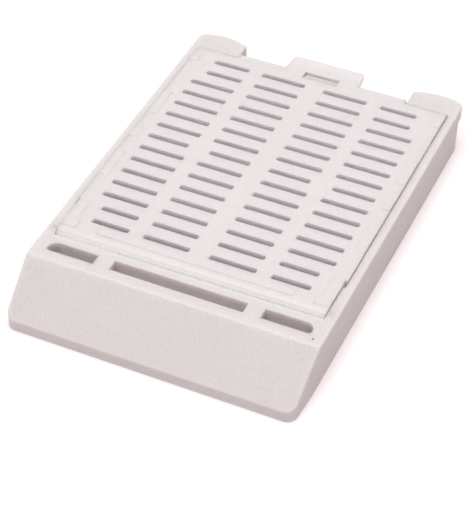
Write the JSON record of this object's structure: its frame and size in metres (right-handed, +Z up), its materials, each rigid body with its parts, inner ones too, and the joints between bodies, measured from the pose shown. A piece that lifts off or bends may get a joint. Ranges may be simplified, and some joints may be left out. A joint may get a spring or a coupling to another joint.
{
  "type": "tissue cassette",
  "caption": "Moulded tissue cassette: a shallow slotted tray with a sloped writing face and a slotted lid on a front hinge, with a snap tab at the rear.",
  "frame": {"origin": "centre of the footprint, on the plane that the foot ring stands on", "axes": "+Z up, +Y towards the rear (snap tab and ears), -Y towards the sloped writing face, +X to the right seen from the front"},
  "size_m": [0.0284, 0.042, 0.0052],
  "materials": {
    "base_plastic": "matte moulded acetal, pale warm grey",
    "lid_plastic": "matte moulded acetal, pale warm grey"
  },
  "bodies": {
    "tray": {"cassette_base": "base_plastic"},
    "lid": {"cassette_lid": "lid_plastic"}
  },
  "joints": [
    {"name": "lid_hinge", "type": "hinge", "parent": "tray", "child": "lid", "pos_m": [0, -0.0119, 0.00445], "axis": [1, 0, 0], "range_deg": [0, 100]}
  ]
}
